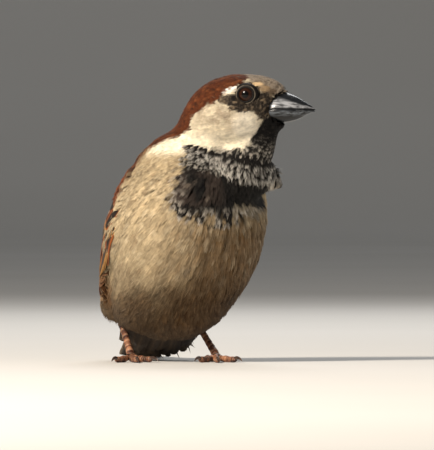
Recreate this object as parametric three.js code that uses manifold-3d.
// A male house sparrow standing upright with its head turned to its left: a still, life-size model.
// Millimetres, +Z up. The bird's trunk faces -Y, so its left is +X. The floor is Z = 0.
// Every form is a sphere drawn out along a spine, so that it is one closed, smooth body.
import * as THREE from "three";
import { mergeVertices } from "three/addons/utils/BufferGeometryUtils.js";
import Module from "manifold-3d";

const wasm = await Module();
wasm.setup();

// ---------- Driving dimensions ----------

const GAP = 0.3; // between two pieces that meet
const FLOOR = 0;
const WORLD = 400; // larger than the bird: the side of a block that cuts

// Lean of the trunk: the way from the belly to the shoulders, for each millimetre of height.
const TRUNK_BASE = { left: -1.35, forward: -10 };
const TRUNK_LEAN = { left: 0.089, forward: 0.42 };

const HEAD_YAW = 48; // degrees that the head turns to the bird's left
const HEAD_CENTRE = { left: 9.2, forward: 24.2, up: 69.7 };
const BILL_TIP_FROM_HEAD = 23.5;
const BILL_LENGTH = 15.6; // the whole of the horn, whose root lies in the head
const EYE = { radius: 3.2, ahead: 5.2, above: 4.7, aside: 5.5 };

const TAIL_LENGTH = 58;
const TAIL_SWING = 19; // degrees that the tail swings to the bird's left
const TAIL_ROOT = { left: 0.2, forward: -18, up: 14.4 };
const TAIL_TIP_UP = 0.75; // the middle of the tip's thickness, so that its underside lies on the floor

const TOE_LENGTHS = { middle: 13, inner: 9.5, outer: 10.5, hind: 8 };
const CLAW_LENGTHS = { inner: 3.8, middle: 4.6, outer: 4, hind: 5.6 };
const TOE_SPREAD = { inner: 30, middle: 0, outer: -30, hind: 180 }; // degrees, towards the other foot
const TOE_RADIUS = 0.95;
const FEET = {
  left: { side: 1, ball: { left: 11, forward: 4.5 }, ankle: at(9.4, -9.5, 13), heading: 20 },
  right: { side: -1, ball: { left: -11, forward: -4.5 }, ankle: at(-9.2, -18, 13.2), heading: 14 },
};
const BALL_UP = 2.1; // where the toes meet the tarsus

// ---------- Frame helpers ----------

function at(left, forward, up) {
  return new THREE.Vector3(left, -forward, up);
}

const UP = at(0, 0, 1);
const BACKWARD = at(0, -1, 0);

// A level direction, turned from straight ahead towards the bird's left.
function heading(degrees) {
  const angle = THREE.MathUtils.degToRad(degrees);
  return at(Math.sin(angle), Math.cos(angle), 0);
}

function trunkAxis(up) {
  return at(TRUNK_BASE.left + TRUNK_LEAN.left * up, TRUNK_BASE.forward + TRUNK_LEAN.forward * up, up);
}

// A curve through evenly spaced values, read at t from 0 to the last index.
function smooth(values, t) {
  const last = values.length - 1;
  const i = Math.min(Math.floor(t), last - 1);
  const before = values[Math.max(i - 1, 0)];
  const [here, next] = [values[i], values[i + 1]];
  const after = values[Math.min(i + 2, last)];
  const u = t - i;
  const slope = (next - before) * u;
  const bend = (2 * before - 5 * here + 4 * next - after) * u * u;
  return 0.5 * (2 * here + slope + bend + (3 * here - before - 3 * next + after) * u ** 3);
}

function smoothPoint(points, t) {
  return new THREE.Vector3(...["x", "y", "z"].map((axis) => smooth(points.map((p) => p[axis]), t)));
}

// ---------- The one shape maker ----------

// Draws a sphere out along a spine. A station holds its point and the section's half sizes: `wide` to both
// sides, `top` towards `up` and `under` away from it. `blunt` is 1 for an egg's ends and near 0 for a rod's.
// `slab` below 1 squares off the section's edges. `wrap` is the radius that a flat section is bent to, and
// `grow` makes the whole form that much larger.
function drawn(stations, { sides = 16, rings = 12, blunt = 1, slab = 1, grow = 0 }) {
  const geometry = new THREE.SphereGeometry(1, sides, rings);
  geometry.deleteAttribute("normal");
  geometry.deleteAttribute("uv");
  const position = geometry.getAttribute("position");
  const points = stations.map((s) => s.point);
  const ups = stations.map((s) => s.up);
  const size = (name, t) => smooth(stations.map((s) => s[name]), t);
  const last = stations.length - 1;
  const step = last * 1e-3;
  for (let i = 0; i < position.count; i++) {
    const ball = new THREE.Vector3().fromBufferAttribute(position, i);
    const t = (last * (1 - ball.y)) / 2;
    const ring = Math.sqrt(Math.max(1 - ball.y * ball.y, 0));
    const ahead = smoothPoint(points, Math.min(t + step, last));
    const tangent = ahead.sub(smoothPoint(points, Math.max(t - step, 0))).normalize();
    const up = smoothPoint(ups, t);
    up.addScaledVector(tangent, -up.dot(tangent)).normalize();
    const side = new THREE.Vector3().crossVectors(up, tangent);
    const share = ring > 1e-6 ? ring ** (blunt - 1) : 0; // the end's rounding, less what `ball` already has
    const across = ball.x * (size("wide", t) * share + grow);
    const rise = slab < 1 ? Math.sign(ball.z) * ring * Math.abs(ball.z / (ring || 1)) ** slab : ball.z;
    const lift = rise * (size(ball.z > 0 ? "top" : "under", t) * share + grow);
    const turn = stations[0].wrap ? across / size("wrap", t) : 0;
    const made = smoothPoint(points, t).addScaledVector(tangent, -ball.y * grow);
    if (turn) {
      made.addScaledVector(side, size("wrap", t) * Math.sin(turn));
      made.addScaledVector(up, -size("wrap", t) * (1 - Math.cos(turn)));
    } else {
      made.addScaledVector(side, across);
    }
    made.addScaledVector(up, lift * Math.cos(turn)).addScaledVector(side, lift * Math.sin(turn));
    position.setXYZ(i, made.x, made.y, made.z);
  }
  return solidOf(mergeVertices(geometry, 1e-4));
}

function station(point, wide, top, under, up, wrap) {
  return { point, wide, top, under, up, wrap };
}

function round(point, radius, up = UP) {
  return station(point, radius, radius, radius, up);
}

// ---------- Joining and cutting ----------

function solidOf(geometry) {
  const vertProperties = new Float32Array(geometry.getAttribute("position").array);
  const triVerts = new Uint32Array(geometry.index.array);
  return new wasm.Manifold(new wasm.Mesh({ numProp: 3, vertProperties, triVerts }));
}

// The half of space on the side that `normal` points to, from a plane through `point`.
function halfSpace(point, normal) {
  const block = new THREE.BoxGeometry(WORLD, WORLD, WORLD);
  block.deleteAttribute("normal");
  block.deleteAttribute("uv");
  block.translate(0, 0, WORLD / 2);
  block.applyQuaternion(new THREE.Quaternion().setFromUnitVectors(UP, normal));
  block.translate(point.x, point.y, point.z);
  return solidOf(mergeVertices(block, 1e-4));
}

// Parts a solid with a thin cut and returns the piece in front of the plane and the piece behind it.
function part(solid, point, normal) {
  const backwards = normal.clone().negate();
  const front = halfSpace(point.clone().addScaledVector(normal, GAP / 2), normal);
  const behind = halfSpace(point.clone().addScaledVector(backwards, GAP / 2), backwards);
  return [solid.intersect(front), solid.intersect(behind)];
}

function largest(solid) {
  return solid.decompose().sort((a, b) => b.volume() - a.volume())[0];
}

const aboveFloor = halfSpace(at(0, 0, FLOOR), UP);

// ---------- Head, bill and eyes ----------

const HEAD_FORWARD = heading(HEAD_YAW);
const HEAD_LEFT = heading(HEAD_YAW + 90);

// A point of the head, from its centre.
function headPoint(ahead, left, above) {
  const centre = at(HEAD_CENTRE.left, HEAD_CENTRE.forward, HEAD_CENTRE.up);
  return centre.addScaledVector(HEAD_FORWARD, ahead).addScaledVector(HEAD_LEFT, left).add(at(0, 0, above));
}

function headStation(ahead, above, wide, crown, throat) {
  return station(headPoint(ahead, 0, above), wide, crown, throat, UP);
}

function headForm() {
  const stations = [
    headStation(-14.6, -3.2, 9, 8.8, 8),
    headStation(-9, -1.6, 10.2, 10.6, 9.5),
    headStation(-3, -0.4, 10.8, 11.1, 10.6),
    headStation(3, 0, 10.6, 10.8, 9.8),
    headStation(8, 0.2, 8.3, 10, 8.2),
    headStation(12.5, 0.3, 4.6, 8.9, 5.8),
    headStation(16, 0.4, 2.8, 6.9, 4),
    headStation(17.8, 0.4, 1.6, 5.4, 2.6),
  ];
  return drawn(stations, { sides: 18, rings: 15, blunt: 0.8 });
}

const BILL_UP = 0.3; // the gape line, above the head's centre

function billForm(grow = 0) {
  const fromTip = (behind, above, wide, top, under) =>
    headStation(BILL_TIP_FROM_HEAD - behind, BILL_UP + above, wide, top, under);
  const stations = [
    fromTip(BILL_LENGTH, 0, 5.3, 4.9, 3.2),
    fromTip(10.6, 0, 4.9, 5.3, 3.5),
    fromTip(6, 0, 3.4, 4.6, 2.9),
    fromTip(2.4, 0, 1.7, 2.7, 1.5),
    fromTip(0, -0.15, 0.5, 0.8, 0.4),
  ];
  return drawn(stations, { sides: 14, rings: 10, blunt: 0.55, grow });
}

function eyeForm(side, grow = 0) {
  const middle = headPoint(EYE.ahead, side * EYE.aside, EYE.above);
  const rod = [-1, 0, 1].map((k) => middle.clone().addScaledVector(HEAD_LEFT, k * EYE.radius));
  return drawn(rod.map((point) => round(point, EYE.radius)), { sides: 10, rings: 8, grow });
}

// ---------- Trunk, neck and rump ----------

// `breast` is the half size towards the front, `back` towards the back.
function trunkStation(point, wide, breast, back) {
  return station(point, wide, back, breast, BACKWARD);
}

function trunkForm() {
  const headBack = HEAD_FORWARD.clone().negate();
  const neckBack = BACKWARD.clone().lerp(headBack, 0.5);
  const stations = [
    trunkStation(at(-2.6, -14, 10.5), 17, 10.5, 8.5),
    trunkStation(at(-1.5, -8, 15.5), 19, 14.8, 13),
    trunkStation(trunkAxis(24.5), 20.6, 19.4, 17.5),
    trunkStation(trunkAxis(36), 22.2, 21.6, 19),
    trunkStation(trunkAxis(47), 20.6, 21, 17),
    trunkStation(at(4.6, 13.4, 54), 18, 19, 12.5),
    station(at(7.6, 17.4, 59.5), 12.6, 8.8, 15, neckBack),
    station(at(9.6, 21.5, 64), 8.5, 7, 10, headBack),
    station(at(10, 23.5, 69), 6, 5, 7, headBack),
  ];
  return drawn(stations, { sides: 22, rings: 17, blunt: 0.62 });
}

// The nape, which runs from the back of the turned head down to the back.
function napeForm() {
  const stations = [
    round(headPoint(-4, 0, 4), 8, BACKWARD),
    round(headPoint(-8.5, 0, -4), 9.8, BACKWARD),
    round(at(4.9, 15, 58.5), 13.8, BACKWARD),
    round(at(4.4, 12.5, 50), 15.5, BACKWARD),
    round(at(3.6, 11, 42), 13, BACKWARD),
  ];
  return drawn(stations, { sides: 16, rings: 10, blunt: 0.7 });
}

// The puffed throat, from the chin to the breast.
function throatForm() {
  const stations = [
    round(headPoint(9, 0, -2.6), 5.8, BACKWARD),
    round(headPoint(5.5, 0, -9), 6.4, BACKWARD),
    round(at(10.5, 23, 54.5), 9.5, BACKWARD),
    round(at(7.6, 17.6, 46), 13, BACKWARD),
  ];
  return drawn(stations, { sides: 16, rings: 9, blunt: 0.7 });
}

// The tuft that stands out from the breast beside the throat.
function tuftForm() {
  const stations = [
    round(at(13, 20, 54), 5),
    round(at(18.4, 23.2, 51.5), 3.2),
    round(at(22.8, 25, 48.6), 0.8),
  ];
  return drawn(stations, { sides: 8, rings: 6, blunt: 0.5 });
}

const TAIL_BACK = heading(180 - TAIL_SWING);

// A point along the tail's middle line, from its root.
function tailPoint(along, left = 0, up = 0) {
  const drop = ((TAIL_ROOT.up - TAIL_TIP_UP) * along) / TAIL_LENGTH;
  const middle = at(TAIL_ROOT.left, TAIL_ROOT.forward, TAIL_ROOT.up - drop + up);
  const across = heading(90 - TAIL_SWING);
  return middle.addScaledVector(TAIL_BACK, along).addScaledVector(across, left);
}

function rumpForm() {
  const stations = [
    station(at(0.6, -5, 25), 16, 13, 14, UP),
    station(at(0.4, -12, 19.5), 14, 10, 11, UP),
    station(tailPoint(3, 0, 0.5), 10, 5.5, 6.2, UP),
    station(tailPoint(14, 0, 0.6), 7.5, 2.6, 3.6, UP),
    station(tailPoint(22), 5, 1.2, 1.8, UP),
  ];
  return drawn(stations, { sides: 14, rings: 9, blunt: 0.5 });
}

function tailForm(grow = 0) {
  const half = (side) => {
    const stations = [
      [0, 2.2, 3.4, 0.9],
      [20, 2.6, 3.9, 1],
      [40, 3.1, 4.6, 0.9],
      [TAIL_LENGTH, 3.9, 4.4, 0.7],
    ].map(([along, left, wide, thick]) => station(tailPoint(along, side * left), wide, thick, thick, UP));
    return drawn(stations, { sides: 10, rings: 9, blunt: 0.22, slab: 0.7, grow });
  };
  return half(1).add(half(-1));
}

// ---------- Wings ----------

// A point on the trunk's side: `height` up its axis, `turn` degrees from the side towards the back.
function flankPoint(side, height, turn, out) {
  const angle = THREE.MathUtils.degToRad(turn);
  const outward = at(side * Math.cos(angle), -0.92 * Math.sin(angle), 0.38 * Math.sin(angle));
  return { point: trunkAxis(height).addScaledVector(outward, out), up: outward };
}

function wingStations(side, rows) {
  return rows.map(([height, turn, out, wide, thick]) => {
    const { point, up } = flankPoint(side, height, turn, out);
    return station(point, wide, thick / 2, thick / 2, up, Math.max(out, 8));
  });
}

// Where the wing's tip lies over the tail.
function overTail(side, along, left, up, wide, thick) {
  return station(tailPoint(along, side * left, up), wide, thick / 2, thick / 2, at(side * 0.5, 0, 0.87), 30);
}

function covertsForm(side, grow = 0) {
  const rows = [
    [52.5, -4, 17.4, 6, 4.6],
    [46, 8, 19.6, 9.5, 4.6],
    [37, 20, 21, 12, 4.4],
    [28, 30, 20, 12.4, 3.8],
  ];
  return drawn(wingStations(side, rows), { sides: 14, rings: 9, blunt: 0.45, slab: 0.6, grow });
}

function tertialsForm(side, grow = 0) {
  const rows = [
    [36, 34, 19.8, 9, 3],
    [27, 44, 20.6, 9.6, 3],
    [18, 56, 19.2, 8.4, 2.6],
  ];
  const stations = [...wingStations(side, rows), overTail(side, 6, 5, 6.2, 3.4, 1.8)];
  return drawn(stations, { sides: 12, rings: 8, blunt: 0.45, slab: 0.6, grow });
}

function primariesForm(side, grow = 0) {
  const rows = [
    [30, 16, 19.8, 6.2, 2.4],
    [21, 30, 19.6, 6.4, 2.4],
    [13, 46, 17.2, 5.6, 2.2],
  ];
  const tips = [overTail(side, 8, 7, 3.4, 4.2, 1.8), overTail(side, 24, 3.4, 2.4, 2.2, 1.2)];
  return drawn([...wingStations(side, rows), ...tips], { sides: 12, rings: 9, blunt: 0.4, slab: 0.6, grow });
}

// ---------- Legs ----------

function ballOf(foot) {
  return at(foot.ball.left, foot.ball.forward, BALL_UP);
}

// The feathered thigh, which swells from the flank and ends round the ankle.
function thighForm(foot) {
  const top = foot.ankle.clone().add(at(foot.side * 1.5, 9, 8));
  const heel = foot.ankle.clone().add(at(0, -0.8, -0.4));
  const stations = [round(top, 7.5), round(top.clone().lerp(heel, 0.55), 5.8), round(heel, 3.6)];
  return drawn(stations, { sides: 12, rings: 8, blunt: 0.55 });
}

function tarsusForm(foot, grow = 0) {
  const ball = ballOf(foot);
  const along = (share) => foot.ankle.clone().lerp(ball, share);
  const stations = [
    round(along(0), 1.5),
    round(along(0.22), 1.1),
    round(along(0.6), 0.95),
    round(along(0.85), 1.2),
    round(along(1.03), 1.55),
  ];
  return drawn(stations, { sides: 8, rings: 8, blunt: 0.35, grow });
}

function toeHeading(foot, toe) {
  return heading(-foot.heading - foot.side * TOE_SPREAD[toe] + (toe === "hind" ? foot.side * 12 : 0));
}

function toePoint(foot, toe, along, up) {
  const ball = ballOf(foot).setZ(up);
  return ball.addScaledVector(toeHeading(foot, toe), along);
}

function toeForm(foot, toe, grow = 0) {
  const length = TOE_LENGTHS[toe];
  const bottom = TOE_RADIUS - 0.12; // sinks a little, so that the pads are cut flat by the floor
  const stations = [
    round(toePoint(foot, toe, 0.6, BALL_UP - 0.3), 1.1),
    round(toePoint(foot, toe, length * 0.3, bottom + 0.25), 0.85),
    round(toePoint(foot, toe, length * 0.55, bottom + 0.05), TOE_RADIUS),
    round(toePoint(foot, toe, length * 0.8, bottom), 0.85),
    round(toePoint(foot, toe, length, bottom), 0.9),
  ];
  return drawn(stations, { sides: 8, rings: 7, blunt: 0.35, grow }).intersect(aboveFloor);
}

function clawForm(foot, toe) {
  const start = TOE_LENGTHS[toe] - 0.6;
  const length = CLAW_LENGTHS[toe];
  const rows = [
    [0, 1, 0.62],
    [0.35, 1.25, 0.55],
    [0.7, 1.05, 0.42],
    [1, 0.4, 0.2],
  ];
  const stations = rows.map(([share, up, radius]) =>
    round(toePoint(foot, toe, start + share * length, up), radius));
  return drawn(stations, { sides: 6, rings: 6, blunt: 0.4 }).intersect(aboveFloor);
}

// ---------- Materials ----------

function finish(color, roughness) {
  return new THREE.MeshStandardMaterial({ color, roughness, metalness: 0 });
}

const LOOKS = {
  head: finish("#7a4426", 0.85),
  neck: finish("#57504a", 0.85),
  trunk: finish("#c2ae8e", 0.85),
  rump: finish("#8d7c66", 0.85),
  bill: finish("#2a2c31", 0.35),
  eye: finish("#1d120b", 0.08),
  coverts: finish("#8a4a26", 0.8),
  flight: finish("#4a3a2c", 0.75),
  tail: finish("#4b3f33", 0.75),
  leg: finish("#b5705a", 0.6),
  claw: finish("#3a302b", 0.45),
};

// ---------- Assembly ----------

const bird = new THREE.Group();

function show(name, solid, look) {
  const { numProp, numVert, vertProperties, triVerts } = solid.getMesh();
  const places = new Float32Array(numVert * 3);
  for (let i = 0; i < numVert; i++) {
    places.set(vertProperties.subarray(i * numProp, i * numProp + 3), i * 3);
  }
  const geometry = new THREE.BufferGeometry();
  geometry.setAttribute("position", new THREE.BufferAttribute(places, 3));
  geometry.setIndex(new THREE.BufferAttribute(triVerts, 1));
  geometry.computeVertexNormals();
  const mesh = new THREE.Mesh(geometry, LOOKS[look]);
  mesh.name = name;
  bird.add(mesh);
}

// One side's wing, from the layer that lies on top to the one beneath.
const wings = {};
for (const [name, side] of [["left", 1], ["right", -1]]) {
  const coverts = covertsForm(side);
  const tertials = tertialsForm(side).subtract(covertsForm(side, GAP));
  const primaries = primariesForm(side).subtract(covertsForm(side, GAP)).subtract(tertialsForm(side, GAP));
  const room = covertsForm(side, GAP).add(tertialsForm(side, GAP)).add(primariesForm(side, GAP));
  wings[name] = { coverts, tertials: largest(tertials), primaries: largest(primaries), room };
}
const otherTip = wings.left.room;
wings.right.tertials = largest(wings.right.tertials.subtract(otherTip));
wings.right.primaries = largest(wings.right.primaries.subtract(otherTip));

const neckForms = napeForm().add(throatForm()).add(tuftForm());
const thighs = thighForm(FEET.left).add(thighForm(FEET.right));
const flesh = trunkForm().add(neckForms).add(headForm()).add(rumpForm()).add(thighs);
const wingRoom = wings.left.room.add(wings.right.room);
const legRoom = tarsusForm(FEET.left, GAP).add(tarsusForm(FEET.right, GAP));
const faceRoom = billForm(GAP).add(eyeForm(1, GAP)).add(eyeForm(-1, GAP));
const fittings = faceRoom.add(wingRoom).add(legRoom).add(tailForm(GAP));
const CUTS = {
  neck: { point: headPoint(-4, 0, -8.5), normal: at(0.1, 0.25, 0.96).normalize() },
  shoulders: { point: trunkAxis(53), normal: at(0.1, 0.42, 1).normalize() },
  rump: { point: at(0.5, -15.5, 16.5), normal: at(0.16, -0.85, -0.5).normalize() },
};
const [headPart, belowHead] = part(flesh.subtract(fittings), CUTS.neck.point, CUTS.neck.normal);
const [neckPart, belowNeck] = part(belowHead, CUTS.shoulders.point, CUTS.shoulders.normal);
const [rumpPart, trunkPart] = part(belowNeck, CUTS.rump.point, CUTS.rump.normal);

show("head", largest(headPart), "head");
show("neck", largest(neckPart), "neck");
show("rump", largest(rumpPart), "rump");
show("tail", tailForm().subtract(wingRoom).intersect(aboveFloor), "tail");

const gapeLine = headPoint(0, 0, BILL_UP);
const [billUpper, billLower] = part(billForm(), gapeLine, UP);
show("bill_upper", billUpper, "bill");
show("bill_lower", billLower, "bill");

let trunk = trunkPart;
for (const [name, foot] of Object.entries(FEET)) {
  show("eye_" + name, eyeForm(foot.side), "eye");
  show("wing_" + name + "_coverts", wings[name].coverts, "coverts");
  show("wing_" + name + "_tertials", wings[name].tertials, "flight");
  show("wing_" + name + "_primaries", wings[name].primaries, "flight");

  const hip = foot.ankle.clone().add(at(-foot.side * 1.5, 3, 3));
  const [thigh, rest] = part(trunk, hip, at(foot.side * 0.9, -0.2, -0.4).normalize());
  show("thigh_" + name, largest(thigh), "trunk");
  trunk = rest;
  show("tarsus_" + name, largest(tarsusForm(foot).intersect(aboveFloor)), "leg");
  let taken = legRoom;
  for (const toe of Object.keys(TOE_LENGTHS)) {
    show("toe_" + name + "_" + toe, largest(toeForm(foot, toe).subtract(taken)), "leg");
    show("claw_" + name + "_" + toe, largest(clawForm(foot, toe).subtract(toeForm(foot, toe, GAP))), "claw");
    taken = taken.add(toeForm(foot, toe, GAP));
  }
}
show("trunk", largest(trunk), "trunk");
// The origin is the middle of the bird's outline on the floor.
const outline = new THREE.Box3().setFromObject(bird);
const middle = outline.getCenter(new THREE.Vector3());
bird.position.set(-middle.x, -middle.y, -outline.min.z);

export default bird;
